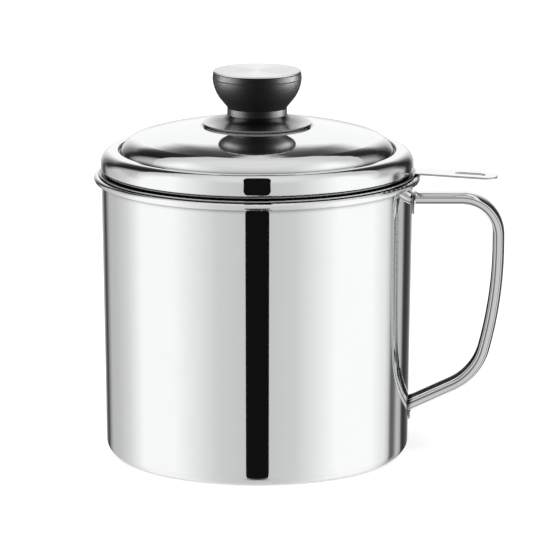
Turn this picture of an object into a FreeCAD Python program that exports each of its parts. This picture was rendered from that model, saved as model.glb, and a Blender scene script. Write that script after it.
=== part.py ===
import FreeCAD, Part
import math
import os

# Grease container: a stainless steel pot with a strap handle, a strainer that hangs in its mouth and a
# domed lid with a screwed-on knob. Millimetres. The origin is the centre of the base's underside, +Z is
# up and the handle points along +X.
#
# Most pieces are pressed from sheet. Such a piece is drawn as one path of corners, each with its bend
# radius, and the sheet lies on the right-hand side of the path as it is walked.

# Pot
pot_height = 104.5
rim_radius = 60.0
rim_width = 3.3
rim_depth = 2.5
rim_curl_radius = 1.25
rim_curl_return = 2.1
pot_wall = 0.6
wall_draft = 1.5
base_corner_radius = 5.0

# Handle strap
handle_drop = 6.7
handle_reach = 34.0
handle_width = 12.0
handle_depth = 4.2
handle_sheet = 0.6
handle_crown_radius = 14.0
handle_crown_slope = 20.0
handle_edge_radius = 1.2
handle_roll_radius = 2.0
handle_lip_width = 2.8
handle_knuckle_radius = 16.1
handle_straight = 40.0
handle_grip_radius = 155.0
handle_grip_tilt = 14.7
handle_heel_radius = 23.5
handle_foot_height = 15.0
handle_foot_slope = 24.7
handle_top_relief = 0.8
handle_foot_run_in = 4.0
tongue_width = 8.0
tongue_run = 4.0
tongue_sink = 0.6
tongue_bend = 1.6
handle_top_pad = 7.3
handle_foot_pad = 3.4
weld_gap = 0.05

# Fits between the three groups
seat_gap = 0.1
strainer_play = 1.2
lid_play = 0.5
lid_seat_gap = 0.05

# Strainer
strainer_sheet = 0.7
flange_inset = 1.8
strainer_bend = 0.9
cup_depth = 12.0
lip_width = 3.4
tab_length = 30.4
tab_width = 12.8
tab_root_width = 11.0
tab_bend_clearance = 0.5
tab_slope = 3.5
tab_edge_draft = 12.0
slot_length = 11.0
slot_width = 4.6
slot_margin = 4.7
mesh_thickness = 0.4
mesh_edge_play = 0.3
mesh_dish_depth = 7.0
mesh_dish_run = 12.0
mesh_dish_radius = 20.0
mesh_rim_bend = 1.5
clamp_thickness = 0.7
clamp_play = 0.3
stack_gap = 0.02

# Lid
lid_sheet = 0.5
lid_inset = 0.7
lid_edge_lift = 1.2
lid_edge_radius = 0.9
lid_seat_width = 0.9
lid_seat_bend = 0.65
lid_skirt_depth = 4.0
lid_shoulder_height = 7.35
lid_shoulder_radius = 5.0
lid_shoulder_width = 6.4
lid_shoulder_fall = 0.4
lid_groove_width = 0.55
lid_groove_depth = 1.6
lid_groove_bend = 0.2
lid_groove_land = 0.8
dome_rise = 10.45
dome_flat_radius = 15.0
dome_crown_slope = 17.0
dome_edge_slope = 70.0

# Knob
skirt_radius = 19.9
skirt_sheet = 0.9
skirt_rise = 3.95
skirt_flare_radius = 12.0
skirt_flare_run = 7.6
skirt_flare_slope = 14.0
neck_radius = 10.95
neck_bend = 0.6
collar_height = 2.4
grip_base_radius = 10.75
grip_radius = 16.35
grip_height = 10.9
grip_flank_rise = 6.2
grip_flank_inset = 0.5
grip_flank_radius = 14.0
grip_wall = 4.0
grip_floor = 4.2
boss_radius = 6.0
cap_height = 2.3
cap_taper = 0.25
cap_spigot = 1.5
cap_play = 0.1
cap_edge_radius = 0.3
disc_thickness = 0.5
disc_inset = 0.1
disc_edge_radius = 0.15

# Fastening of the knob
screw_radius = 2.5
screw_length = 15.5
screw_head_radius = 4.6
screw_head_height = 2.8
screw_head_round = 1.2
screw_slot_width = 1.2
screw_slot_depth = 1.2
screw_play = 0.3
thread_play = 0.05
insert_radius = 4.0
insert_height = 8.0
insert_margin = 0.8
insert_flange_radius = 4.6
insert_flange_height = 1.0
washer_radius = 6.5
washer_thickness = 0.8
lock_washer_radius = 4.4
lock_washer_thickness = 1.1
lock_washer_split = 0.8

TINY = 1e-6
Z_AXIS = FreeCAD.Vector(0, 0, 1)
Y_AXIS = FreeCAD.Vector(0, 1, 0)


# Paths of corners and bends, in the XZ plane

def point(x, z, y=0.0):
    return FreeCAD.Vector(x, y, z)


def headings(corners):
    """Unit direction and length of each run between corners."""
    runs = []
    for (x0, z0, _), (x1, z1, _) in zip(corners, corners[1:]):
        length = math.hypot(x1 - x0, z1 - z0)
        runs.append(((x1 - x0) / length, (z1 - z0) / length, length))
    return runs


def right_turn(before, after):
    """Angle by which the path turns to the right, negative for a left turn."""
    cross = before[1] * after[0] - before[0] * after[1]
    dot = before[0] * after[0] + before[1] * after[1]
    return math.atan2(cross, dot)


def bend_radii(corners, runs):
    """Bend radius at each corner, where two bends that share a short run are limited by it."""
    turns = [right_turn(a, b) for a, b in zip(runs, runs[1:])]
    halves = [0.0] + [math.tan(abs(turn) / 2) for turn in turns] + [0.0]
    reach = [corner[2] * half for corner, half in zip(corners, halves)]
    room = [run[2] / max(run[2], reach[i] + reach[i + 1]) for i, run in enumerate(runs)]
    limits = [min(a, b) for a, b in zip(room, room[1:])]
    radii = [corner[2] * limit for corner, limit in zip(corners[1:-1], limits)]
    return turns, radii


def shifted_corners(corners, offset):
    """The corners of the path that runs at offset to the right, with their radii."""
    runs = headings(corners)
    turns, radii = bend_radii(corners, runs)
    normals = [(run[1], -run[0]) for run in runs]
    (x, z, _), (nx, nz) = corners[0], normals[0]
    moved = [(x + offset * nx, z + offset * nz, 0.0)]
    for i, turn in enumerate(turns):
        x, z, _ = corners[i + 1]
        share = offset / (1 + math.cos(turn))
        nx = normals[i][0] + normals[i + 1][0]
        nz = normals[i][1] + normals[i + 1][1]
        radius = radii[i] - math.copysign(offset, turn)
        moved.append((x + share * nx, z + share * nz, max(radius, 0.0)))
    (x, z, _), (nx, nz) = corners[-1], normals[-1]
    moved.append((x + offset * nx, z + offset * nz, 0.0))
    return moved


def path_edges(corners):
    """Lines and tangent arcs along a path of corners."""
    runs = headings(corners)
    turns, radii = bend_radii(corners, runs)
    edges = []
    here = point(corners[0][0], corners[0][1])
    for i, (turn, radius) in enumerate(zip(turns, radii)):
        corner = point(corners[i + 1][0], corners[i + 1][1])
        ahead = point(runs[i + 1][0], runs[i + 1][1])
        back = point(-runs[i][0], -runs[i][1])
        reach = radius * math.tan(abs(turn) / 2)
        start = corner + back * reach
        end = corner + ahead * reach
        if (start - here).Length > TINY:
            edges.append(Part.LineSegment(here, start).toShape())
        if reach > TINY:
            inward = (back + ahead).normalize()
            middle = corner + inward * (radius / math.cos(turn / 2) - radius)
            edges.append(Part.Arc(start, middle, end).toShape())
        here = end
    last = point(corners[-1][0], corners[-1][1])
    edges.append(Part.LineSegment(here, last).toShape())
    return edges


def closed_face(edges):
    return Part.Face(Part.Wire(Part.__sortEdges__(edges)))


def band_face(corners, near, far):
    """Face between two paths that run at near and far to the right of the corners."""
    near_corners = shifted_corners(corners, near)
    far_corners = shifted_corners(corners, far)
    edges = path_edges(near_corners) + path_edges(far_corners)
    for end in (0, -1):
        a = point(near_corners[end][0], near_corners[end][1])
        b = point(far_corners[end][0], far_corners[end][1])
        edges.append(Part.LineSegment(a, b).toShape())
    return closed_face(edges)


def outline_face(corners):
    """Face inside a closed path of corners, which starts and ends at its first corner."""
    return closed_face(path_edges(corners + [corners[0]]))


def turned(face):
    return face.revolve(FreeCAD.Vector(0, 0, 0), Z_AXIS, 360)


def drawn_sheet(corners, thickness):
    """Round pressing: a sheet turned about the Z axis."""
    return turned(band_face(corners, 0.0, thickness))


def across(face, width):
    """Face of the XZ plane, thickened evenly to both sides in Y."""
    face.translate(FreeCAD.Vector(0, -width / 2, 0))
    return face.extrude(Y_AXIS * width)


def ring(inner, outer, low, high):
    outside = Part.makeCylinder(outer, high - low, point(0, low))
    return outside.cut(Part.makeCylinder(inner, high - low, point(0, low)))


def circles_at(solid, radius, height):
    """Circular edges of a turned piece at one radius and height."""
    return [edge for edge in solid.Edges
            if hasattr(edge.Curve, "Radius")
            and abs(edge.Curve.Radius - radius) < TINY
            and abs(edge.BoundBox.ZMax - height) < TINY
            and edge.BoundBox.ZLength < TINY]


# Sizes that follow from the ones above

mouth_radius = rim_radius - rim_width
rim_bottom = pot_height - rim_depth
wall_top_radius = mouth_radius + pot_wall
wall_base_radius = wall_top_radius - wall_draft

flange_top = pot_height + seat_gap + strainer_sheet
flange_radius = rim_radius - flange_inset
cup_outer_radius = mouth_radius - strainer_play
cup_inner_radius = cup_outer_radius - strainer_sheet
lip_top = flange_top - cup_depth
lip_inner_radius = cup_inner_radius - lip_width
mesh_top = lip_top + stack_gap + mesh_thickness

lid_seat = flange_top + lid_seat_gap
lid_edge = flange_top + lid_edge_lift
lid_radius = flange_radius - lid_inset
lid_skirt_radius = cup_inner_radius - lid_play
shoulder_top = lid_edge + lid_shoulder_height
shoulder_inner_radius = lid_radius - lid_shoulder_width
groove_radius = shoulder_inner_radius - lid_groove_width
groove_bottom = shoulder_top - lid_groove_depth
dome_top = groove_bottom + dome_rise
screw_hole_radius = screw_radius + screw_play


def wall_radius(height):
    """Outer radius of the pot's wall at a height."""
    return wall_base_radius + wall_draft * height / pot_height


def dome_bends():
    """Radii of the crown and of the knuckle that carry the dome from its flat top down to the groove."""
    crown = math.radians(dome_crown_slope)
    edge = math.radians(dome_edge_slope)
    run = groove_radius - dome_flat_radius - lid_groove_land * math.cos(edge)
    fall = dome_rise - lid_groove_land * math.sin(edge)
    crown_run, crown_fall = math.sin(crown), 1 - math.cos(crown)
    knuckle_run, knuckle_fall = math.sin(edge) - crown_run, math.cos(crown) - math.cos(edge)
    scale = crown_run * knuckle_fall - knuckle_run * crown_fall
    crown_radius = (run * knuckle_fall - fall * knuckle_run) / scale
    knuckle_radius = (fall * crown_run - run * crown_fall) / scale
    return crown_radius, knuckle_radius


def dome_corners():
    """Corners of the dome from its flat top to the groove."""
    crown = math.radians(dome_crown_slope)
    edge = math.radians(dome_edge_slope)
    crown_radius, knuckle_radius = dome_bends()
    crown_reach = crown_radius * math.tan(crown / 2)
    knuckle_reach = knuckle_radius * math.tan((edge - crown) / 2)
    x = dome_flat_radius + crown_reach
    first = (x, dome_top, crown_radius)
    x += (crown_reach + knuckle_reach) * math.cos(crown)
    z = dome_top - (crown_reach + knuckle_reach) * math.sin(crown)
    return [first, (x, z, knuckle_radius)]


def dome_height(radius):
    """Height of the dome's outside at a radius on its crown."""
    crown_radius = dome_bends()[0]
    out = max(radius - dome_flat_radius, 0.0)
    return dome_top - crown_radius + math.sqrt(crown_radius ** 2 - out ** 2)


skirt_lip = dome_height(skirt_radius) + seat_gap
skirt_top = skirt_lip + skirt_rise
collar_top = skirt_top + stack_gap + collar_height
grip_bottom = collar_top + stack_gap
grip_top = grip_bottom + grip_height
cap_bottom = grip_top + stack_gap
cap_top = cap_bottom + cap_height
cavity_radius = grip_radius - grip_wall
cavity_floor = grip_bottom + grip_floor
insert_bottom = grip_bottom + insert_margin
washer_top = dome_top - lid_sheet - stack_gap
lock_washer_top = washer_top - washer_thickness - stack_gap
head_top = lock_washer_top - lock_washer_thickness - stack_gap


# Pot

def pot_shell():
    """Drawn cup, walked along its inside from the middle of the base to the curl of the rim."""
    curl_end = rim_radius - rim_curl_return
    corners = [
        (0.0, pot_wall, 0.0),
        (wall_base_radius - pot_wall, pot_wall, base_corner_radius - pot_wall),
        (mouth_radius, pot_height, rim_curl_radius),
        (rim_radius, pot_height, rim_curl_radius),
        (rim_radius, rim_bottom, rim_curl_radius),
        (curl_end, rim_bottom, 0.0),
    ]
    return drawn_sheet(corners, pot_wall)


def handle_corners():
    """Crown line of the strap, from the relief at the top round the grip into the wall at the foot."""
    top = pot_height - handle_drop
    start = wall_radius(top) + weld_gap + handle_top_relief
    grip = wall_radius(top) + handle_reach
    tilt = math.tan(math.radians(handle_grip_tilt))
    angle = math.radians(handle_foot_slope)
    slope = math.tan(angle)
    foot_wall = wall_radius(handle_foot_height) + weld_gap
    knee = top - handle_straight
    # The tilted grip, x = grip - tilt * (knee - z), meets the sloping foot, z = foot + slope * (x - wall).
    heel_x = (grip - tilt * (knee - handle_foot_height + slope * foot_wall)) / (1 - tilt * slope)
    heel_z = handle_foot_height + slope * (heel_x - foot_wall)
    end_x = foot_wall - handle_foot_run_in * math.cos(angle)
    end_z = handle_foot_height - handle_foot_run_in * math.sin(angle)
    return [
        (start, top, 0.0),
        (grip, top, handle_knuckle_radius),
        (grip, knee, handle_grip_radius),
        (heel_x, heel_z, handle_heel_radius),
        (end_x, end_z, 0.0),
    ]


def handle_section():
    """Section of the strap in the XZ plane: crowned outside, with rolled edges that end in inward lips."""
    slope = math.radians(handle_crown_slope)
    half = handle_width / 2
    apex = handle_crown_radius * (1 / math.cos(slope) - 1)
    shoulder = apex - half * math.tan(slope)
    lip = half - handle_lip_width
    corners = [
        (-lip, -handle_depth, 0.0),
        (-half, -handle_depth, handle_roll_radius),
        (-half, shoulder, handle_edge_radius),
        (0.0, apex, handle_crown_radius),
        (half, shoulder, handle_edge_radius),
        (half, -handle_depth, handle_roll_radius),
        (lip, -handle_depth, 0.0),
    ]
    return band_face(corners, 0.0, handle_sheet)


def top_tongue():
    """Flat tongue that runs out of the strap and bends down to the upper weld pad."""
    top = pot_height - handle_drop - tongue_sink
    pad_end = top - handle_top_pad
    corners = [
        (wall_radius(pad_end) + weld_gap, pad_end, 0.0),
        (wall_radius(top) + weld_gap, top, tongue_bend),
        (wall_radius(top) + weld_gap + tongue_run, top, 0.0),
    ]
    return across(band_face(corners, 0.0, handle_sheet), tongue_width)


def foot_tongue():
    """Flat tongue that runs out of the foot of the strap and bends down to the lower weld pad."""
    angle = math.radians(handle_foot_slope)
    foot = handle_foot_height + tongue_sink / math.cos(angle) + handle_sheet * math.tan(angle)
    pad_end = foot - handle_foot_pad
    wall = wall_radius(foot) + weld_gap + handle_sheet
    corners = [
        (wall + tongue_run * math.cos(angle), foot + tongue_run * math.sin(angle), 0.0),
        (wall, foot, tongue_bend),
        (wall_radius(pad_end) + weld_gap + handle_sheet, pad_end, 0.0),
    ]
    return across(band_face(corners, 0.0, handle_sheet), tongue_width)


def handle_strap():
    """Pressed strap, open towards the hand, with a welded tongue at each end."""
    corners = handle_corners()
    section = handle_section()
    section.rotate(FreeCAD.Vector(0, 0, 0), Z_AXIS, 90)
    section.translate(point(corners[0][0], corners[0][1]))
    sweep = Part.BRepOffsetAPI.MakePipeShell(Part.Wire(path_edges(corners)))
    sweep.setBiNormalMode(Y_AXIS)
    sweep.add(section.OuterWire)
    sweep.build()
    sweep.makeSolid()
    strap = sweep.shape().fuse([top_tongue(), foot_tongue()]).removeSplitter()
    return strap.cut(clear_of_wall())


def clear_of_wall():
    """Solid cone that fills the pot and its weld gap, so that the pads follow the round wall."""
    low = wall_radius(0.0) + weld_gap
    high = wall_radius(pot_height) + weld_gap
    return Part.makeCone(low, high, pot_height)


# Strainer

def strainer_frame():
    """Flange on the rim, cup wall, inward lip and tab."""
    corners = [
        (lip_inner_radius, lip_top, 0.0),
        (cup_inner_radius, lip_top, strainer_bend - strainer_sheet),
        (cup_inner_radius, flange_top, strainer_bend),
        (flange_radius, flange_top, 0.0),
    ]
    pressing = drawn_sheet(corners, strainer_sheet)
    edges = circles_at(pressing, flange_radius, flange_top)
    edges += circles_at(pressing, flange_radius, flange_top - strainer_sheet)
    pressing = pressing.makeFillet(strainer_sheet * 0.4, edges)
    return pressing.fuse(strainer_tab()).removeSplitter()


def tab_outline(grown, height):
    """Outline of the tapered tab with its round end, seen from above and grown by a little, at a height."""
    root = cup_outer_radius + strainer_bend
    bend = rim_radius + tab_bend_clearance
    half = tab_width / 2
    root_half = tab_root_width / 2 + grown
    centre = flange_radius + tab_length - half
    near = [(root, -root_half), (bend, -root_half), (centre, -half - grown)]
    points = [FreeCAD.Vector(x, y, height) for x, y in near]
    points += [FreeCAD.Vector(x, -y, height) for x, y in reversed(near)]
    end = FreeCAD.Vector(centre + half + grown, 0, height)
    edges = [Part.LineSegment(a, b).toShape() for a, b in zip(points[:2], points[1:3])]
    edges.append(Part.Arc(points[2], end, points[3]).toShape())
    edges += [Part.LineSegment(a, b).toShape() for a, b in zip(points[3:5], points[4:])]
    edges.append(Part.LineSegment(points[5], points[0]).toShape())
    return Part.Wire(edges)


def tab_blank():
    """Solid with the tab's outline, drafted inwards below and tipped with the tab."""
    draft = math.tan(math.radians(tab_edge_draft))
    above = tab_bend_clearance + strainer_sheet
    below = 2 * strainer_sheet
    outlines = [tab_outline(above * draft, flange_top + above), tab_outline(-below * draft, flange_top - below)]
    blank = Part.makeLoft(outlines, True, True)
    blank.rotate(point(rim_radius + tab_bend_clearance, flange_top), Y_AXIS, tab_slope)
    return blank


def slot_cutter(low, high):
    """Round-ended slot to hang the strainer by."""
    end = flange_radius + tab_length - slot_margin
    radius = slot_width / 2
    outer = end - radius
    inner = end - slot_length + radius
    size = FreeCAD.Vector(inner, -radius, low)
    cutter = Part.makeBox(outer - inner, slot_width, high - low, size)
    for x in (inner, outer):
        cutter = cutter.fuse(Part.makeCylinder(radius, high - low, point(x, low)))
    return cutter


def strainer_tab():
    """Flat tab that runs on from the flange and dips just past the rim."""
    root = cup_outer_radius + strainer_bend
    bend = rim_radius + tab_bend_clearance
    run = flange_radius + tab_length - bend
    fall = run * math.tan(math.radians(tab_slope))
    corners = [
        (root, flange_top, 0.0),
        (bend, flange_top, strainer_bend),
        (bend + run, flange_top - fall, 0.0),
    ]
    strip = across(band_face(corners, 0.0, strainer_sheet), tab_width)
    slot = slot_cutter(flange_top - fall - tab_width, flange_top + tab_width)
    return strip.common(tab_blank()).cut(slot)


def strainer_mesh():
    """Dished disc, walked along its upper face from the edge to the middle and kept on one thickness."""
    dish_radius = lip_inner_radius - mesh_rim_bend
    low = mesh_top - mesh_dish_depth
    corners = [
        (0.0, low, 0.0),
        (dish_radius - mesh_dish_run, low, mesh_dish_radius),
        (dish_radius, mesh_top, mesh_rim_bend),
        (cup_inner_radius - mesh_edge_play, mesh_top, 0.0),
    ]
    return drawn_sheet(corners, mesh_thickness)


def strainer_clamp_ring():
    low = mesh_top + stack_gap
    outer = cup_inner_radius - clamp_play
    return ring(lip_inner_radius, outer, low, low + clamp_thickness)


# Lid

def lid_shell():
    """Dome, groove, shoulder, side band, rolled-under edge, seat and skirt, walked along the outside."""
    seat_radius = lid_radius - lid_seat_width
    corners = [(screw_hole_radius, dome_top, 0.0)]
    corners += dome_corners()
    corners += [
        (groove_radius, groove_bottom, lid_groove_bend),
        (shoulder_inner_radius, shoulder_top, lid_groove_bend + lid_sheet),
        (lid_radius, shoulder_top - lid_shoulder_fall, lid_shoulder_radius),
        (lid_radius, lid_edge, lid_edge_radius),
        (seat_radius, lid_edge, lid_seat_bend - lid_sheet),
        (seat_radius, lid_seat, lid_seat_bend),
        (lid_skirt_radius, lid_seat, lid_seat_bend - lid_sheet),
        (lid_skirt_radius, lid_seat - lid_skirt_depth, 0.0),
    ]
    return drawn_sheet(corners, lid_sheet)


# Knob

def knob_skirt():
    """Flared disc: flat top under the collar, a steep fall beside it and a flare down to the lip."""
    slope = math.tan(math.radians(skirt_flare_slope))
    flare_x = skirt_radius - skirt_flare_run
    edge_top = skirt_lip + skirt_sheet
    corners = [
        (screw_hole_radius, skirt_top, 0.0),
        (neck_radius, skirt_top, neck_bend),
        (flare_x, edge_top + skirt_flare_run * slope, skirt_flare_radius),
        (skirt_radius, edge_top, 0.0),
    ]
    return drawn_sheet(corners, skirt_sheet)


def knob_collar():
    return ring(screw_hole_radius, neck_radius, skirt_top + stack_gap, collar_top)


def knob_grip():
    """Bowl with a hollow under the cap and a boss that holds the threaded insert."""
    flank_radius = grip_radius - grip_flank_inset
    flank_top = grip_bottom + grip_flank_rise
    boss_top = insert_bottom + insert_height
    corners = [
        (screw_hole_radius, grip_bottom, 0.0),
        (grip_base_radius, grip_bottom, 0.0),
        (flank_radius, flank_top, grip_flank_radius),
        (grip_radius, grip_top, 0.0),
        (cavity_radius, grip_top, 0.0),
        (cavity_radius, cavity_floor, neck_bend),
        (boss_radius, cavity_floor, neck_bend),
        (boss_radius, boss_top, 0.0),
        (insert_radius, boss_top, 0.0),
        (insert_radius, insert_bottom + insert_flange_height, 0.0),
        (insert_flange_radius, insert_bottom + insert_flange_height, 0.0),
        (insert_flange_radius, insert_bottom, 0.0),
        (screw_hole_radius, insert_bottom, 0.0),
    ]
    return turned(outline_face(corners))


def knob_cap():
    """Plug with a spigot in the grip's hollow and a band that carries the bowl's outline on."""
    spigot = cavity_radius - cap_play
    top_radius = grip_radius - cap_taper
    corners = [
        (0.0, cap_bottom - cap_spigot, 0.0),
        (spigot, cap_bottom - cap_spigot, 0.0),
        (spigot, cap_bottom, 0.0),
        (grip_radius, cap_bottom, 0.0),
        (top_radius, cap_top, cap_edge_radius),
        (0.0, cap_top, 0.0),
    ]
    return turned(outline_face(corners))


def knob_disc():
    radius = grip_radius - cap_taper - disc_inset
    low = cap_top + stack_gap
    disc = Part.makeCylinder(radius, disc_thickness, point(0, low))
    return disc.makeFillet(disc_edge_radius, circles_at(disc, radius, low + disc_thickness))


def knob_insert():
    """Threaded bush with a locking flange at its foot."""
    inner = screw_radius + thread_play
    grown = stack_gap
    foot = insert_bottom + grown
    corners = [
        (inner, foot, 0.0),
        (insert_flange_radius - grown, foot, 0.0),
        (insert_flange_radius - grown, insert_bottom + insert_flange_height - grown, 0.0),
        (insert_radius - grown, insert_bottom + insert_flange_height - grown, 0.0),
        (insert_radius - grown, insert_bottom + insert_height, 0.0),
        (inner, insert_bottom + insert_height, 0.0),
    ]
    return turned(outline_face(corners))


# Fastening of the knob

def knob_screw():
    """Pan-head screw that comes up through the lid into the insert."""
    low = head_top - screw_head_height
    head = Part.makeCylinder(screw_head_radius, screw_head_height, point(0, low))
    head = head.makeFillet(screw_head_round, circles_at(head, screw_head_radius, low))
    shank = Part.makeCylinder(screw_radius, screw_length, point(0, head_top))
    corner = FreeCAD.Vector(-screw_head_radius, -screw_slot_width / 2, low)
    slot = Part.makeBox(2 * screw_head_radius, screw_slot_width, screw_slot_depth, corner)
    return head.fuse(shank).removeSplitter().cut(slot)


def knob_flat_washer():
    return ring(screw_hole_radius, washer_radius, washer_top - washer_thickness, washer_top)


def knob_lock_washer():
    low = lock_washer_top - lock_washer_thickness
    washer = ring(screw_hole_radius, lock_washer_radius, low, lock_washer_top)
    corner = FreeCAD.Vector(0, -lock_washer_split / 2, low)
    return washer.cut(Part.makeBox(lock_washer_radius, lock_washer_split, lock_washer_thickness, corner))


PIECES = [
    pot_shell, handle_strap,
    strainer_frame, strainer_mesh, strainer_clamp_ring,
    lid_shell, knob_skirt, knob_collar, knob_grip, knob_cap, knob_disc,
    knob_insert, knob_screw, knob_flat_washer, knob_lock_washer,
]

os.makedirs("parts", exist_ok=True)
for piece in PIECES:
    shape = piece()
    print(piece.__name__, shape.ShapeType, len(shape.Solids), shape.isValid(), round(shape.Volume, 1))
    shape.exportStep("parts/" + piece.__name__ + ".step")
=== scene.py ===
import math

import bpy
import numpy as np
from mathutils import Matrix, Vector


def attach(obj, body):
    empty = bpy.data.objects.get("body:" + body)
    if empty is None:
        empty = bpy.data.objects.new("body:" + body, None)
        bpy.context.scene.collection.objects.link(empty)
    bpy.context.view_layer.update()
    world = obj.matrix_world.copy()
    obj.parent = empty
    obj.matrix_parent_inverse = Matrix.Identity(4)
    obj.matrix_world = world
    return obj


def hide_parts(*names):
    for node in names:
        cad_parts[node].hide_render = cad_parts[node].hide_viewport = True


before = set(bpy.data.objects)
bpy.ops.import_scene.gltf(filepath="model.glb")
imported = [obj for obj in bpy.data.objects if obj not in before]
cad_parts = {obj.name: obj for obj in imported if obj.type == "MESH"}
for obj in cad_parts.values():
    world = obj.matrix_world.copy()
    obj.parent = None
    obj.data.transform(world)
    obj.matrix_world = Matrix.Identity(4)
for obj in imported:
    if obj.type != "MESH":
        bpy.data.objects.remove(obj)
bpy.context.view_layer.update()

MM = 0.001
MM_PER_METRE = 1000.0

# Camera: the point it looks at, its height above the horizon, its distance in metres, its lens and
# sensor in millimetres, and the range that it sees
AIM = Vector((3.43, 0.0, 69.4)) * MM
ELEVATION = math.radians(11.95)
DISTANCE = 1.6
LENS = 292.6
SENSOR = 36.0
CLIP = (0.05, 50.0)

# White world: its strength as a light, and as the background and reflections show it
WORLD_LIGHT = 0.62
WORLD_SHOWN = 1.0

# Floor: half its width, and its height, a little below the base so that their faces don't meet;
# its grey, and a glow that the camera sees but that doesn't light the object
FLOOR_REACH = 6.0
FLOOR_HEIGHT = -2e-5
FLOOR_GREY = 0.86
FLOOR_GLOW = 0.3

# Sphere of studio walls. The brightness of its walls, window, hood, sky and ceiling is a display
# value from 0 to 255.
SHELL_RADIUS = 6.0
SHELL_SEGMENTS = 96
SHELL_RINGS = 48
SHELL_STRENGTH = 1.13
# Brightness of the walls, by degrees to the right of the camera. The pot's round side mirrors them:
# where it is turned by an angle, it shows the wall at twice that angle.
PANELS = [
    (-180, 200), (-169, 187), (-162, 128), (-157.5, 78), (-153.5, 60), (-147.5, 144), (-142, 182),
    (-128, 191), (-112, 213), (-95, 250), (-65, 250), (-28, 205), (-9, 198), (9, 198), (28, 205),
    (62, 252), (95, 252), (112, 228), (117, 200), (121, 95), (126, 100), (132, 186), (138, 175),
    (141.5, 78), (146.5, 46), (157, 82), (162, 122), (168, 185),
]
# Behind the object stands a dark hood with a white window in it. They are laid out on an upright
# plane one unit behind the object, u to the right and w up. A direction towards that plane is one
# that goes back by at least this share.
NEAREST_BEHIND = 0.02
# Half the hood's width at the floor, and how much it widens with w
HOOD_WIDTH = (0.85, 0.45)
# Brightness by the share of that half width, low down across the window and high up over it
HOOD_LOW = [
    (-1.35, 200), (-1.1, 150), (-0.95, 52), (-0.75, 45), (-0.5, 138), (-0.2, 246), (0.2, 246),
    (0.5, 105), (0.65, 42), (0.9, 42), (1.1, 120), (1.35, 190),
]
HOOD_HIGH = [
    (-1.5, 185), (-1.15, 157), (-0.9, 28), (0.0, 46), (0.75, 40), (1.15, 151), (1.5, 180),
]
# The window's top: how fast it droops with the cube of u and how far at most, and how the high row
# takes over from the low one by w
WINDOW_ARCH = (38.0, 0.13)
WINDOW_TOP = [(0.61, 0.0), (0.68, 0.35), (0.75, 0.75), (0.85, 0.93), (1.05, 1.0)]
# The hood's top edge: its w by u, and how sharp it is; and the sky's brightness by w
HOOD_TOP = [(-1.6, 1.8), (-0.7, 1.64), (0.0, 0.9), (0.7, 1.38), (1.6, 1.45)]
HOOD_TOP_SHARPNESS = 12.0
SKY = [(1.0, 204), (2.0, 200)]
# How hood and sky take over from the walls, by degrees above the horizon and by how far back
BEHIND_BY_RISE = [(-5.0, 0.0), (5.0, 1.0)]
BEHIND_BY_DEPTH = [(0.0, 0.0), (0.3, 1.0)]
# The ceiling's brightness, and how it takes over from the rest by degrees above the horizon
CEILING = 219
CEILING_BY_RISE = [(50.0, 0.0), (72.0, 1.0)]

# Bent black cards that the steel shows as the stripe on the pot and the square on the lid's edge:
# name, x of the middle, half width, corner radius and the line that they follow in y and z, in
# millimetres
CARDS = [
    ("card_pot", 0.2, 5.67, 1.2, [(-66.0, -50.0), (-66.0, 99.7)]),
    ("card_lid", 0.1, 5.1, 1.6,
     [(-58.8, 107.0), (-58.8, 111.6), (-58.3, 113.0), (-57.0, 114.0), (-54.6, 114.3)]),
]
CARD_GREY = 0.006
CARD_STEPS = 120

# Lamps: name, place and diameter in metres, and power in watts; and the point that they face
LAMPS = [
    ("lamp_left", (-1.6, -1.4, 2.2), 1.6, 45),
    ("lamp_right", (1.8, -0.6, 2.0), 1.6, 30),
]
LAMP_AIM = (0.0, 0.0, 0.05)
# Soft boxes that light the black knob alone: name, degrees to the right of the camera and power;
# their width and height, their distance from the axis and from the floor, the point that they
# face, and the pieces that they light
SOFT_BOXES = [("box_left", -80, 13), ("box_right", 86, 15)]
BOX_SIZE = (0.3, 0.12)
BOX_PLACE = (0.3, 0.11)
BOX_AIM = (0.0, 0.0, 0.13)
KNOB = ("knob_collar", "knob_grip", "knob_cap")

# Woven wire of the strainer, in millimetres: its pitch and radius, how far it goes up and down at a
# crossing, the radius that it fills, and the strip at each side that is left without a wire
WIRE_PITCH = 1.4
WIRE_RADIUS = 0.105
WIRE_WAVE = 0.09
WIRE_REACH = 54.3
WIRE_MARGIN = 2.0
WIRE_SIDES = 4
# Dish of the strainer, in millimetres: the upper side of its rim and of its floor, the sheet that
# the solid model has there, the radii where its flank meets floor and rim, and the bends there
DISH_TOP = 93.72
DISH_LOW = 86.72
DISH_THICKNESS = 0.4
DISH_FOOT = 37.9
DISH_RIM = 49.9
DISH_FOOT_BEND = 20.0
DISH_RIM_BEND = 1.5

# Wall of the pot, in millimetres: its sheet, its outer radius at the top and at the base, and its
# height; the satin finish inside starts this share of the sheet in from the outer face, and ends
# this far below the top
POT_SHEET = 0.6
POT_TOP_RADIUS = 57.3
POT_BASE_RADIUS = 55.8
POT_HEIGHT = 104.5
POT_SATIN_FROM = 0.6
POT_SATIN_BELOW = 3.0

# Seam between the knob's cap and its grip, in millimetres: its height, half the width of its
# groove, and the groove's profile by share of that half width
SEAM_HEIGHT = 139.98
SEAM_HALF = 0.22
SEAM_PROFILE = [(0.1, 0.0), (1.0, 1.0)]

# Linear colours, each pair the two ends of a pattern
STEEL = ((0.845, 0.85, 0.857), (0.88, 0.885, 0.89))
SATIN = ((0.72, 0.72, 0.73), (0.84, 0.84, 0.85))
WIRE = ((0.6, 0.6, 0.605), (0.76, 0.76, 0.765))
BRASS = ((0.66, 0.5, 0.22), (0.8, 0.63, 0.33))
BLACK = ((0.0006, 0.0006, 0.00065), (0.0013, 0.0012, 0.0012))
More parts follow.
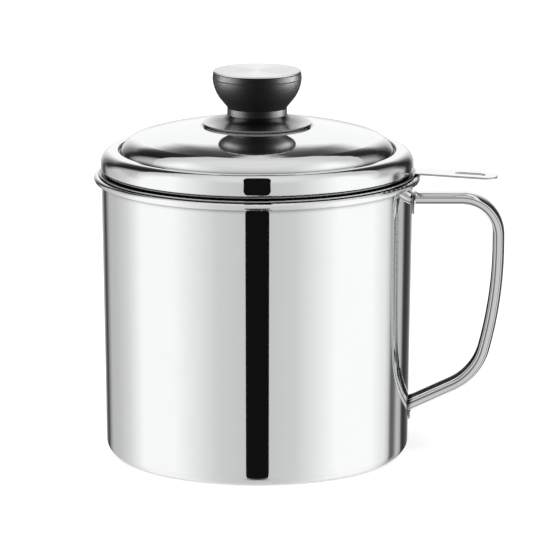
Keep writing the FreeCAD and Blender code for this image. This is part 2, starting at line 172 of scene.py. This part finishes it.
# Colours of painted shade in crevices and on edges, and of wear on worn edges
STEEL_PAINTED_SHADE = (0.012, 0.012, 0.013)
SATIN_PAINTED_SHADE = (0.03, 0.03, 0.03)
WIRE_PAINTED_SHADE = (0.05, 0.05, 0.05)
STEEL_PAINTED_EDGE_SHADE = (0.04, 0.04, 0.042)
BLACK_WORN = (0.006, 0.006, 0.006)

# Painted shade in crevices: how far a surface looks for others near it, in metres, and how much
# of its colour is left by how open it finds the place
STEEL_SHADE_BY_OPENNESS = (0.0022, [(0.3, 0.0), (0.5, 0.03), (0.66, 0.3), (0.85, 0.9), (0.95, 1.0)])
SKIRT_SHADE_BY_OPENNESS = (0.014, [(0.4, 0.0), (0.6, 0.05), (0.75, 0.35), (0.88, 0.9), (0.95, 1.0)])
SATIN_SHADE_BY_OPENNESS = (0.0012, [(0.35, 0.15), (0.8, 1.0)])
WIRE_SHADE_BY_OPENNESS = (0.0004, [(0.2, 0.1), (0.7, 1.0)])
OPENNESS_SAMPLES = 12
# Least colour that the painted shade leaves on the knob's skirt, by how far the surface faces up
SKIRT_SHADE_LIMIT_BY_FACING = [(0.0, 0.3), (0.3, 0.25), (0.5, 0.0)]
# Least colour that the painted shade leaves on the pot, by height in millimetres, so that the foot
# of its wall keeps its full colour
POT_SHADE_LIMIT_BY_HEIGHT = [(3.5, 1.0), (6.0, 0.0)]
# Edges of the tab, with painted shade, and of the knob, with wear: how deep the surface looks into
# the solid, in metres, and how strongly the edge shows by the share of that depth that is solid
TAB_EDGE_SHADE = (0.00045, [(0.55, 0.85), (0.8, 0.45), (0.97, 0.0)])
WORN_EDGE = (0.0005, [(0.35, 1.0), (0.62, 0.0)])
# Painted shade on the strap's rounded edges: how dark it is by how far the surface faces sideways
STRAP_EDGE_SHADE = [(0.68, 0.0), (0.8, 0.8), (0.89, 0.8), (0.96, 0.0)]

# Noise in the materials: scale per metre, detail, roughness and distortion
SMEARS = (55.0, 4.0, 0.6, 0.6)
SCRATCHES = (420.0, 6.0, 0.75, 1.5)
CLOUDS = (160.0, 3.0, 0.5, 0.0)
MOTTLE = (260.0, 4.0, 0.6, 0.0)
GRAIN = (2600.0, 2.0, 0.5, 0.0)
WIRE_DRAWING = (3000.0, 3.0, 0.7, 0.0)
WIRE_PATCHES = (90.0, 3.0, 0.5, 0.0)
# Noise of the fine lines, its scale in units of their pitch and length
LINES = (1.0, 3.0, 0.7, 0.0)
# How the scratches' noise becomes separate scratches
SCRATCHED = [(0.62, 0.0), (0.72, 1.0)]
# Share of the grain in the knob's relief, the rest being lines; and how the mottle varies its wear
GRAIN_SHARE = 0.35
WEAR_BY_MOTTLE = (0.2, 1.0)

# Roughness: what the patterns and the pot's inside add, as a range or at most
SMEAR_ROUGH = (-0.008, 0.012)
SCRATCH_ROUGH = 0.03
STEEL_LINE_ROUGH = 0.035
POT_SATIN_ROUGH = 0.17
CLOUD_ROUGH = (-0.03, 0.03)
SATIN_LINE_ROUGH = 0.1
GRAIN_ROUGH = (-0.02, 0.03)
BLACK_LINE_ROUGH = 0.08
WEAR_ROUGH = 0.12
PATCH_ROUGH = (-0.04, 0.06)
# Roughness: the least on polished steel, and the range on brass and on wire
STEEL_LEAST_ROUGH = 0.02
BRASS_ROUGH = (0.2, 0.34)
WIRE_ROUGH = (0.2, 0.34)

# Depth of the relief in metres, and how many times as deep the lines are inside the pot
STEEL_DEPTH = 1.5e-7
POT_SATIN_DEEPER = 6.0
SATIN_DEPTH = 8e-7
BLACK_DEPTH = 1.2e-6
SEAM_DEPTH = 1.5e-4
BRASS_DEPTH = 1e-6
WIRE_DEPTH = 6e-7

METAL = {"Metallic": 1.0}


class Nodes:
    """A node tree with short calls to add and join nodes."""

    def __init__(self, tree):
        self.tree = tree
        tree.nodes.clear()

    def add(self, kind, **settings):
        node = self.tree.nodes.new("ShaderNode" + kind)
        for name, value in settings.items():
            setattr(node, name, value)
        return node

    def join(self, source, socket):
        self.tree.links.new(source, socket)

    def put(self, socket, value):
        """Gives a socket a number, a grey or a colour, or joins it to another node."""
        if isinstance(value, bpy.types.NodeSocket):
            self.join(value, socket)
        elif socket.type == "RGBA":
            grey = isinstance(value, (int, float))
            socket.default_value = (value, value, value, 1.0) if grey else (*value, 1.0)
        else:
            socket.default_value = value

    def math(self, operation, a, b=None, clamp=False):
        node = self.add("Math", operation=operation, use_clamp=clamp)
        self.put(node.inputs[0], a)
        if b is not None:
            self.put(node.inputs[1], b)
        return node.outputs[0]

    def blend(self, value, low, high):
        """Number from low to high as value goes from 0 to 1."""
        return self.math("ADD", self.math("MULTIPLY", value, high - low), low)

    def ramp(self, value, stops, mode="LINEAR"):
        """Level by value, for values and levels from 0 to 1."""
        node = self.add("ValToRGB")
        node.color_ramp.interpolation = mode
        elements = node.color_ramp.elements
        while len(elements) > 1:
            elements.remove(elements[-1])
        for i, (place, level) in enumerate(stops):
            stop = elements[0] if i == 0 else elements.new(place)
            stop.position = place
            stop.color = (level, level, level, 1.0)
        self.join(value, node.inputs[0])
        return node.outputs[0]

    def over(self, value, stops, low=-2.0, high=2.0):
        """Level by value, for values from low to high and levels from 0 to 1."""
        share = self.math("DIVIDE", self.math("SUBTRACT", value, low), high - low)
        return self.ramp(share, [((place - low) / (high - low), level) for place, level in stops])

    def mix(self, factor, a, b):
        """Colour from a to b as factor goes from 0 to 1."""
        node = self.add("Mix", data_type="RGBA")
        self.put(node.inputs[0], factor)
        # The node's other sockets are for numbers and vectors.
        self.put(node.inputs[6], a)
        self.put(node.inputs[7], b)
        return node.outputs[2]

    def place(self):
        """Object coordinates, in metres."""
        return self.add("TexCoord").outputs["Object"]

    def facing(self):
        """The surface's normal."""
        return self.add("TexCoord").outputs["Normal"]

    def split(self, vector):
        """The three numbers of a vector."""
        parts = self.add("SeparateXYZ")
        self.join(vector, parts.inputs[0])
        return parts.outputs

    def vector(self, x, y, z):
        node = self.add("CombineXYZ")
        for socket, value in zip(node.inputs, (x, y, z)):
            self.put(socket, value)
        return node.outputs[0]

    def noise(self, vector, scale, detail, rough, distortion):
        node = self.add("TexNoise")
        self.join(vector, node.inputs["Vector"])
        node.inputs["Scale"].default_value = scale
        node.inputs["Detail"].default_value = detail
        node.inputs["Roughness"].default_value = rough
        node.inputs["Distortion"].default_value = distortion
        return node.outputs["Fac"]

    def bump(self, height, depth, normal=None):
        """Normal of a surface with this relief, height 1 being depth metres."""
        node = self.add("Bump")
        node.inputs["Strength"].default_value = 1.0
        node.inputs["Distance"].default_value = depth
        self.join(height, node.inputs["Height"])
        if normal is not None:
            self.join(normal, node.inputs["Normal"])
        return node.outputs[0]

    def openness(self, reach, stops, inside=False):
        """Level by how open the space over the surface is, or inside, how deep the solid is."""
        node = self.add("AmbientOcclusion", samples=OPENNESS_SAMPLES, inside=inside)
        node.inputs["Distance"].default_value = reach
        return self.ramp(node.outputs["AO"], stops)

    def output(self, shader, kind="OutputMaterial"):
        self.join(shader.outputs[0], self.add(kind).inputs[0])

    def surface(self, tint, roughness, normal, settings):
        """Principled surface with these joined inputs, and plain numbers for other inputs."""
        shader = self.add("BsdfPrincipled")
        for name, value in settings.items():
            shader.inputs[name].default_value = value
        self.join(tint, shader.inputs["Base Color"])
        self.join(roughness, shader.inputs["Roughness"])
        self.join(normal, shader.inputs["Normal"])
        self.output(shader)
        return shader


def new_material(name):
    material = bpy.data.materials.new(name)
    material.use_nodes = True
    return material, Nodes(material.node_tree)


def new_object(name, data):
    """Object of the scene with this mesh, camera or light."""
    obj = bpy.data.objects.new(name, data)
    bpy.context.scene.collection.objects.link(obj)
    return obj


def mesh_object(name, verts, faces):
    mesh = bpy.data.meshes.new(name)
    mesh.from_pydata(verts, [], faces)
    return new_object(name, mesh)


def face(obj, place, direction):
    """Puts a camera or lamp at a place and turns it to look in a direction."""
    obj.location = place
    obj.rotation_mode = "QUATERNION"
    obj.rotation_quaternion = direction.to_track_quat("-Z", "Y")


def linear(value):
    """Linear value of a display value from 0 to 255."""
    v = value / 255
    return v / 12.92 if v <= 0.04045 else ((v + 0.055) / 1.055) ** 2.4


def linear_stops(stops):
    return [(place, linear(value)) for place, value in stops]


# Camera and studio

def make_camera():
    camera = new_object("camera", bpy.data.cameras.new("camera"))
    camera.data.sensor_width = SENSOR
    camera.data.lens = LENS
    camera.data.clip_start, camera.data.clip_end = CLIP
    toward = Vector((0.0, -math.cos(ELEVATION), math.sin(ELEVATION)))
    face(camera, AIM + toward * DISTANCE, -toward)
    bpy.context.scene.camera = camera
    bpy.context.scene.view_settings.view_transform = "Standard"


def seen_rays(nodes):
    """1 for camera, glossy and transmission rays, 0 for the rest."""
    path = nodes.add("LightPath")
    seen = nodes.math("ADD", path.outputs["Is Camera Ray"], path.outputs["Is Glossy Ray"])
    return nodes.math("ADD", seen, path.outputs["Is Transmission Ray"], clamp=True)


def make_world():
    """White world that looks brighter than the light it gives."""
    world = bpy.data.worlds.new("studio")
    world.use_nodes = True
    bpy.context.scene.world = world
    nodes = Nodes(world.node_tree)
    mix = nodes.add("MixShader")
    nodes.join(seen_rays(nodes), mix.inputs[0])
    for strength, socket in zip((WORLD_LIGHT, WORLD_SHOWN), mix.inputs[1:]):
        background = nodes.add("Background")
        nodes.put(background.inputs["Color"], 1.0)
        nodes.put(background.inputs["Strength"], strength)
        nodes.join(background.outputs[0], socket)
    nodes.output(mix, "OutputWorld")


def reflected_only(obj):
    """Makes an object of the studio show in reflections and nowhere else."""
    obj.visible_camera = False
    obj.visible_diffuse = False
    obj.visible_shadow = False
    obj.visible_transmission = False
    obj.visible_volume_scatter = False


def make_floor():
    """Pale floor that keeps the object's shadow and doesn't show in reflections."""
    corners = ((-1, -1), (1, -1), (1, 1), (-1, 1))
    verts = [(x * FLOOR_REACH, y * FLOOR_REACH, FLOOR_HEIGHT) for x, y in corners]
    floor = mesh_object("floor", verts, [(0, 1, 2, 3)])
    floor.visible_glossy = False
    material, nodes = new_material("floor")
    surface = nodes.add("BsdfDiffuse")
    nodes.put(surface.inputs["Color"], FLOOR_GREY)
    glow = nodes.add("Emission")
    nodes.join(nodes.math("MULTIPLY", seen_rays(nodes), FLOOR_GLOW), glow.inputs["Strength"])
    both = nodes.add("AddShader")
    nodes.join(surface.outputs[0], both.inputs[0])
    nodes.join(glow.outputs[0], both.inputs[1])
    nodes.output(both)
    floor.data.materials.append(material)


def window_and_hood(nodes, x, y, z):
    """Brightness behind the object: a white window in a dark hood and pale sky over it."""
    calc = nodes.math
    depth = calc("MAXIMUM", y, NEAREST_BEHIND)
    u, w = calc("DIVIDE", x, depth), calc("DIVIDE", z, depth)

    narrow, widening = HOOD_WIDTH
    half_width = calc("ADD", calc("MULTIPLY", calc("MAXIMUM", w, 0.0), widening), narrow)
    share = calc("DIVIDE", u, half_width)
    low = nodes.over(share, linear_stops(HOOD_LOW))
    high = nodes.over(share, linear_stops(HOOD_HIGH))

    steepness, limit = WINDOW_ARCH
    droop = calc("MULTIPLY", calc("POWER", calc("ABSOLUTE", u), 3.0), steepness)
    arched = calc("ADD", w, calc("MINIMUM", droop, limit))
    hood = nodes.mix(nodes.over(arched, WINDOW_TOP), low, high)

    # A ramp's levels end at 1, so this one gives half the height.
    half_top = nodes.over(u, [(place, height / 2) for place, height in HOOD_TOP])
    over_top = calc("SUBTRACT", w, calc("MULTIPLY", half_top, 2.0))
    above = calc("ADD", calc("MULTIPLY", over_top, HOOD_TOP_SHARPNESS), 0.5, clamp=True)
    return nodes.mix(above, hood, nodes.over(w, linear_stops(SKY)))


def make_shell():
    """Sphere of studio walls, seen in reflections only."""
    bpy.ops.mesh.primitive_uv_sphere_add(
        segments=SHELL_SEGMENTS, ring_count=SHELL_RINGS, radius=SHELL_RADIUS)
    shell = bpy.context.object
    shell.name = "studio_shell"
    reflected_only(shell)
    material, nodes = new_material("studio_shell")
    calc = nodes.math
    x, y, z = [calc("DIVIDE", axis, SHELL_RADIUS) for axis in nodes.split(nodes.place())]
    rise = calc("ARCSINE", calc("MAXIMUM", calc("MINIMUM", z, 1.0), -1.0))
    degrees = calc("MULTIPLY", rise, 180 / math.pi)

    # Stripes that a round wall shows as upright: they meet at the camera and behind the object.
    across = calc("SUBTRACT", math.cos(ELEVATION), y)
    turn = calc("ADD", calc("DIVIDE", calc("ARCTAN2", x, across), math.pi), 0.5)
    walls = nodes.ramp(turn, [((angle + 180) / 360, linear(value)) for angle, value in PANELS])

    # The hood and the sky stand above the horizon behind, and the pale ceiling is over everything.
    rising = nodes.over(degrees, BEHIND_BY_RISE, low=-10.0, high=10.0)
    backwards = nodes.over(y, BEHIND_BY_DEPTH, low=-0.1, high=0.9)
    behind = calc("MULTIPLY", rising, backwards)
    colour = nodes.mix(behind, walls, window_and_hood(nodes, x, y, z))
    ceiling = nodes.over(degrees, CEILING_BY_RISE, low=0.0, high=90.0)
    colour = nodes.mix(ceiling, colour, linear(CEILING))

    glow = nodes.add("Emission")
    nodes.join(colour, glow.inputs["Color"])
    nodes.put(glow.inputs["Strength"], SHELL_STRENGTH)
    nodes.output(glow)
    shell.data.materials.append(material)


def card_rows(line, half_width, radius):
    """Rows (y, z, half width) of a strip with rounded corners that follows a line."""
    line = np.array(line)
    reach = np.concatenate([[0.0], np.cumsum(np.hypot(*np.diff(line, axis=0).T))])
    total = reach[-1]
    # The rows lie closer together towards the ends, where the corners are.
    rows = total * (1 - np.cos(np.linspace(0, math.pi, CARD_STEPS + 1))) / 2
    to_end = np.minimum(np.minimum(rows, total - rows), radius)
    width = half_width - radius + np.sqrt(radius ** 2 - (radius - to_end) ** 2)
    return zip(np.interp(rows, reach, line[:, 0]), np.interp(rows, reach, line[:, 1]), width)


def make_cards():
    """Black cards in front of the pot and of the lid."""
    material, nodes = new_material("black_card")
    surface = nodes.add("Emission")
    nodes.put(surface.inputs["Color"], CARD_GREY)
    nodes.output(surface)
    for name, middle, half_width, radius, line in CARDS:
        verts = []
        for y, z, half in card_rows(line, half_width, radius):
            verts += [((middle + side * half) * MM, y * MM, z * MM) for side in (-1, 1)]
        faces = [(i, i + 1, i + 3, i + 2) for i in range(0, len(verts) - 2, 2)]
        card = mesh_object(name, verts, faces)
        reflected_only(card)
        card.data.materials.append(material)


def make_lamp(name, place, aim, power):
    """Area lamp that the camera doesn't see."""
    light = bpy.data.lights.new(name, "AREA")
    light.energy = power
    lamp = new_object(name, light)
    face(lamp, place, Vector(aim) - Vector(place))
    lamp.visible_camera = False
    return lamp


def make_lamps():
    """Two round lamps that light everything, and two soft boxes for the knob."""
    for name, place, diameter, power in LAMPS:
        lamp = make_lamp(name, place, LAMP_AIM, power)
        lamp.data.shape = "DISK"
        lamp.data.size = diameter
        lamp.visible_glossy = False
    knob = bpy.data.collections.new("knob_lit")
    for name in KNOB:
        knob.objects.link(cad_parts[name])
    away, height = BOX_PLACE
    for name, turn, power in SOFT_BOXES:
        angle = math.radians(turn)
        place = (away * math.sin(angle), -away * math.cos(angle), height)
        box = make_lamp(name, place, BOX_AIM, power)
        box.data.shape = "RECTANGLE"
        box.data.size, box.data.size_y = BOX_SIZE
        box.light_linking.receiver_collection = knob


# Materials

def about_axis(nodes):
    """Radius, turn and height of a point about the pot's axis, the lengths in millimetres."""
    calc = nodes.math
    x, y, z = nodes.split(nodes.place())
    squares = calc("ADD", calc("MULTIPLY", x, x), calc("MULTIPLY", y, y))
    radius = calc("MULTIPLY", calc("SQRT", squares), MM_PER_METRE)
    return radius, calc("ARCTAN2", y, x), calc("MULTIPLY", z, MM_PER_METRE)


def lines_round(nodes, pitch, length=0.35):
    """Fine lines that run round the axis, pitch millimetres apart and about length radians long."""
    calc = nodes.math
    radius, turn, height = about_axis(nodes)
    spread = nodes.vector(
        calc("DIVIDE", radius, pitch), calc("DIVIDE", turn, length), calc("DIVIDE", height, pitch))
    return nodes.noise(spread, *LINES)


def lines_along(nodes, pitch, length=14.0):
    """Fine lines that run along the strap, with their pitch and length in millimetres."""
    calc = nodes.math
    x, y, z = [calc("MULTIPLY", axis, MM_PER_METRE) for axis in nodes.split(nodes.place())]
    spread = nodes.vector(
        calc("DIVIDE", x, length), calc("DIVIDE", y, pitch), calc("DIVIDE", z, length))
    return nodes.noise(spread, *LINES)


def pot_shade_limit(nodes):
    """Least openness of the pot's surface under its painted shade: all at its foot and none further
    up.
    """
    return nodes.over(about_axis(nodes)[2], POT_SHADE_LIMIT_BY_HEIGHT, low=0.0, high=10.0)


def skirt_shade_limit(nodes):
    """Least openness of the knob's skirt under its painted shade: some where it doesn't face up."""
    return nodes.ramp(nodes.split(nodes.facing())[2], SKIRT_SHADE_LIMIT_BY_FACING)


def tab_edge_shade(nodes):
    """Painted shade near the edges of the tab's sheet."""
    return nodes.openness(*TAB_EDGE_SHADE, inside=True)


def strap_edge_shade(nodes):
    """Painted shade on the rounded edges of the strap."""
    return nodes.ramp(nodes.math("ABSOLUTE", nodes.split(nodes.facing())[1]), STRAP_EDGE_SHADE)


def pot_inside(nodes):
    """1 on the inner face of the pot's wall and base, 0 elsewhere."""
    calc = nodes.math
    radius, _, height = about_axis(nodes)
    slope = (POT_TOP_RADIUS - POT_BASE_RADIUS) / POT_HEIGHT
    wall = calc("ADD", calc("MULTIPLY", height, slope),
                POT_BASE_RADIUS - POT_SHEET * POT_SATIN_FROM)
    within = calc("MULTIPLY", calc("LESS_THAN", radius, wall),
                  calc("GREATER_THAN", height, POT_SHEET / 2))
    return calc("MULTIPLY", within, calc("LESS_THAN", height, POT_HEIGHT - POT_SATIN_BELOW))


def polished_steel(name, lines_in, pitch, rough=0.035, painted_shade_in=STEEL_SHADE_BY_OPENNESS,
                   least_open_in_shade=None, edges=None, satin=None):
    """Mirror-polished sheet with fine polishing lines, faint wiping smears and painted shade in
    crevices.

    The last three are functions of the nodes, for sheets that need them: the least openness under
    the painted shade, the painted shade on edges, and the part with a satin finish.
    """
    material, nodes = new_material(name)
    calc = nodes.math
    lines = lines_in(nodes, pitch)
    place = nodes.place()
    smears = nodes.noise(place, *SMEARS)
    scratches = nodes.ramp(nodes.noise(place, *SCRATCHES), SCRATCHED)
    # Painted shade: the less open the place, the nearer the colour comes to a dark grey
    openness = nodes.openness(*painted_shade_in)
    if least_open_in_shade:
        openness = calc("MAXIMUM", openness, least_open_in_shade(nodes))
    tint = nodes.mix(openness, STEEL_PAINTED_SHADE, nodes.mix(smears, *STEEL))
    # Painted shade on edges, for sheets that have it
    if edges:
        tint = nodes.mix(edges(nodes), tint, STEEL_PAINTED_EDGE_SHADE)
    roughness = calc("ADD", nodes.blend(lines, rough, rough + STEEL_LINE_ROUGH),
                     nodes.blend(smears, *SMEAR_ROUGH))
    roughness = calc("ADD", roughness, calc("MULTIPLY", scratches, SCRATCH_ROUGH))
    relief = lines
    if satin:
        part = satin(nodes)
        roughness = calc("ADD", roughness, calc("MULTIPLY", part, POT_SATIN_ROUGH))
        relief = calc("MULTIPLY", lines, nodes.blend(part, 1.0, POT_SATIN_DEEPER))
    roughness = calc("MAXIMUM", roughness, STEEL_LEAST_ROUGH)
    nodes.surface(tint, roughness, nodes.bump(relief, STEEL_DEPTH), METAL)
    return material


def satin_steel(name, pitch, rough, anisotropic):
    """Steel with brushed or turned lines round the axis."""
    material, nodes = new_material(name)
    lines = lines_round(nodes, pitch, length=0.6)
    clouds = nodes.noise(nodes.place(), *CLOUDS)
    # Painted shade darkens the steel in crevices
    tint = nodes.mix(nodes.openness(*SATIN_SHADE_BY_OPENNESS), SATIN_PAINTED_SHADE, nodes.mix(lines, *SATIN))
    roughness = nodes.math("ADD", nodes.blend(lines, rough, rough + SATIN_LINE_ROUGH),
                           nodes.blend(clouds, *CLOUD_ROUGH))
    shader = nodes.surface(tint, roughness, nodes.bump(lines, SATIN_DEPTH),
                           {**METAL, "Anisotropic": anisotropic})
    if anisotropic:
        tangent = nodes.add("Tangent", direction_type="RADIAL", axis="Z")
        nodes.join(tangent.outputs[0], shader.inputs["Tangent"])
    return material


def bakelite(name, gloss, rough):
    """Black moulded plastic, semi-gloss, faintly mottled, a little worn along its edges."""
    material, nodes = new_material(name)
    calc = nodes.math
    place = nodes.place()
    mottle = nodes.noise(place, *MOTTLE)
    grain = nodes.noise(place, *GRAIN)
    lines = lines_round(nodes, pitch=0.16, length=0.9)
    wear = calc("MULTIPLY", nodes.openness(*WORN_EDGE, inside=True),
                nodes.blend(mottle, *WEAR_BY_MOTTLE))
    tint = nodes.mix(wear, nodes.mix(mottle, *BLACK), BLACK_WORN)
    roughness = calc("ADD", nodes.blend(lines, rough, rough + BLACK_LINE_ROUGH),
                     nodes.blend(grain, *GRAIN_ROUGH))
    roughness = calc("ADD", roughness, calc("MULTIPLY", wear, WEAR_ROUGH))
    relief = calc("ADD", calc("MULTIPLY", grain, GRAIN_SHARE),
                  calc("MULTIPLY", lines, 1 - GRAIN_SHARE))
    from_seam = calc("ABSOLUTE", calc("SUBTRACT", about_axis(nodes)[2], SEAM_HEIGHT))
    groove = nodes.ramp(calc("DIVIDE", from_seam, SEAM_HALF), SEAM_PROFILE, "EASE")
    normal = nodes.bump(relief, BLACK_DEPTH, nodes.bump(groove, SEAM_DEPTH))
    nodes.surface(tint, roughness, normal, {"Specular IOR Level": gloss})
    return material


def turned_brass(name):
    """Brass with fine lines from the lathe."""
    material, nodes = new_material(name)
    lines = lines_round(nodes, pitch=0.12, length=0.8)
    nodes.surface(nodes.mix(lines, *BRASS), nodes.blend(lines, *BRASS_ROUGH),
                  nodes.bump(lines, BRASS_DEPTH), METAL)
    return material


def woven_wire(name):
    """Drawn wire, with painted shade where the wires cross."""
    material, nodes = new_material(name)
    place = nodes.place()
    drawing = nodes.noise(place, *WIRE_DRAWING)
    patches = nodes.noise(place, *WIRE_PATCHES)
    tint = nodes.mix(nodes.openness(*WIRE_SHADE_BY_OPENNESS), WIRE_PAINTED_SHADE, nodes.mix(drawing, *WIRE))
    roughness = nodes.math("ADD", nodes.blend(drawing, *WIRE_ROUGH),
                           nodes.blend(patches, *PATCH_ROUGH))
    nodes.surface(tint, roughness, nodes.bump(drawing, WIRE_DEPTH), METAL)
    return material


# Strainer

def dish_height(radius):
    """Height of the middle of the dished mesh at these radii."""
    slope = math.atan2(DISH_TOP - DISH_LOW, DISH_RIM - DISH_FOOT)
    foot = DISH_FOOT - DISH_FOOT_BEND * math.tan(slope / 2)
    rim = DISH_RIM + DISH_RIM_BEND * math.tan(slope / 2)
    foot_end = foot + DISH_FOOT_BEND * math.sin(slope)
    rim_start = rim - DISH_RIM_BEND * math.sin(slope)
    foot_arc = np.sqrt(np.maximum(DISH_FOOT_BEND ** 2 - (radius - foot) ** 2, 0))
    rim_arc = np.sqrt(np.maximum(DISH_RIM_BEND ** 2 - (rim - radius) ** 2, 0))
    height = np.select(
        [radius < foot, radius < foot_end, radius < rim_start, radius < rim],
        [DISH_LOW,
         DISH_LOW + DISH_FOOT_BEND - foot_arc,
         DISH_LOW + (radius - DISH_FOOT) * math.tan(slope),
         DISH_TOP - DISH_RIM_BEND + rim_arc],
        DISH_TOP)
    return height - DISH_THICKNESS / 2


def wire_line(side, number, sign):
    """Places along a wire and its heights there, side millimetres from the middle of the dish.

    It has a point at each crossing and halfway to the next one, and goes over one wire and under
    the next.
    """
    half = WIRE_PITCH / 2
    count = int(math.sqrt(WIRE_REACH ** 2 - side ** 2) / half)
    steps = np.arange(-count, count + 1)
    along = steps * half
    up_or_down = np.where((steps // 2 + number) % 2 == 0, 1.0, -1.0)
    wave = np.where(steps % 2 == 0, 0.0, up_or_down) * sign * WIRE_WAVE
    return along, dish_height(np.hypot(along, side)) + wave


def wire_tube(side, number, crosswise, first):
    """Corners and faces of one wire, its corners numbered from first."""
    along, height = wire_line(side, number, -1.0 if crosswise else 1.0)
    rise = np.gradient(height, along)
    length = np.hypot(1.0, rise)
    n = len(along)
    verts, faces = [], []
    for corner in range(WIRE_SIDES):
        angle = math.radians(corner * 360 / WIRE_SIDES)
        out = WIRE_RADIUS * math.cos(angle)
        up = WIRE_RADIUS * math.sin(angle)
        a = (along - up * rise / length) * MM
        b = np.full_like(along, (side + out) * MM)
        h = (height + up / length) * MM
        verts += list(zip(b, a, h)) if crosswise else list(zip(a, b, h))
        near, far = first + corner * n, first + (corner + 1) % WIRE_SIDES * n
        for i in range(n - 1):
            quad = (near + i, near + i + 1, far + i + 1, far + i)
            faces.append(quad[::-1] if crosswise else quad)
    for i in (0, n - 1):
        cap = tuple(first + corner * n + i for corner in range(WIRE_SIDES))
        faces.append(cap if (i == 0) != crosswise else cap[::-1])
    return verts, faces


def make_weave():
    """Plain weave of round wires, dished as the strainer is."""
    verts, faces = [], []
    count = int(WIRE_REACH / WIRE_PITCH)
    for crosswise in (False, True):
        for number in range(-count, count + 1):
            side = number * WIRE_PITCH + WIRE_PITCH / 2
            if abs(side) > WIRE_REACH - WIRE_MARGIN:
                continue
            more_verts, more_faces = wire_tube(side, number, crosswise, first=len(verts))
            verts += more_verts
            faces += more_faces
    weave = mesh_object("strainer_weave", verts, faces)
    weave.data.polygons.foreach_set("use_smooth", np.ones(len(faces), dtype=bool))
    return weave


# The object

def dress():
    """Gives every node its material, and the strainer its woven wire."""
    round_steel = polished_steel("polished_steel", lines_round, pitch=0.22)
    # Painted shade: the pot has none at its foot, the strap and the tab have more on their edges,
    # and the skirt's reaches further, under the knob's grip
    pot_steel = polished_steel("polished_steel_pot", lines_round, pitch=0.22,
                               least_open_in_shade=pot_shade_limit, satin=pot_inside)
    strap_steel = polished_steel("polished_steel_strap", lines_along, pitch=0.2, edges=strap_edge_shade)
    tab_steel = polished_steel("polished_steel_strainer", lines_round, pitch=0.22, edges=tab_edge_shade)
    skirt_steel = polished_steel("polished_steel_skirt", lines_round, pitch=0.2, rough=0.17,
                                 painted_shade_in=SKIRT_SHADE_BY_OPENNESS, least_open_in_shade=skirt_shade_limit)
    black = bakelite("black_bakelite", gloss=0.05, rough=0.38)
    black_collar = bakelite("black_bakelite_collar", gloss=0.045, rough=0.38)
    turned = satin_steel("satin_steel_turned", pitch=0.12, rough=0.22, anisotropic=0.0)
    brushed = satin_steel("satin_steel_disc", pitch=0.14, rough=0.2, anisotropic=0.6)
    wire_steel = woven_wire("woven_wire")
    materials = {
        "pot_shell": pot_steel,
        "handle_strap": strap_steel,
        "strainer_frame": tab_steel,
        "strainer_mesh": wire_steel,
        "strainer_clamp_ring": turned,
        "lid_shell": round_steel,
        "knob_skirt": skirt_steel,
        "knob_collar": black_collar,
        "knob_grip": black,
        "knob_cap": black,
        "knob_disc": brushed,
        "knob_insert": turned_brass("brass"),
        "knob_screw": turned,
        "knob_flat_washer": turned,
        "knob_lock_washer": turned,
    }
    for name, material in materials.items():
        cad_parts[name].data.materials[0] = material
    weave = make_weave()
    weave.data.materials.append(wire_steel)
    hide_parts("strainer_mesh")
    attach(weave, "strainer")


make_camera()
make_world()
make_floor()
make_shell()
make_cards()
make_lamps()
dress()
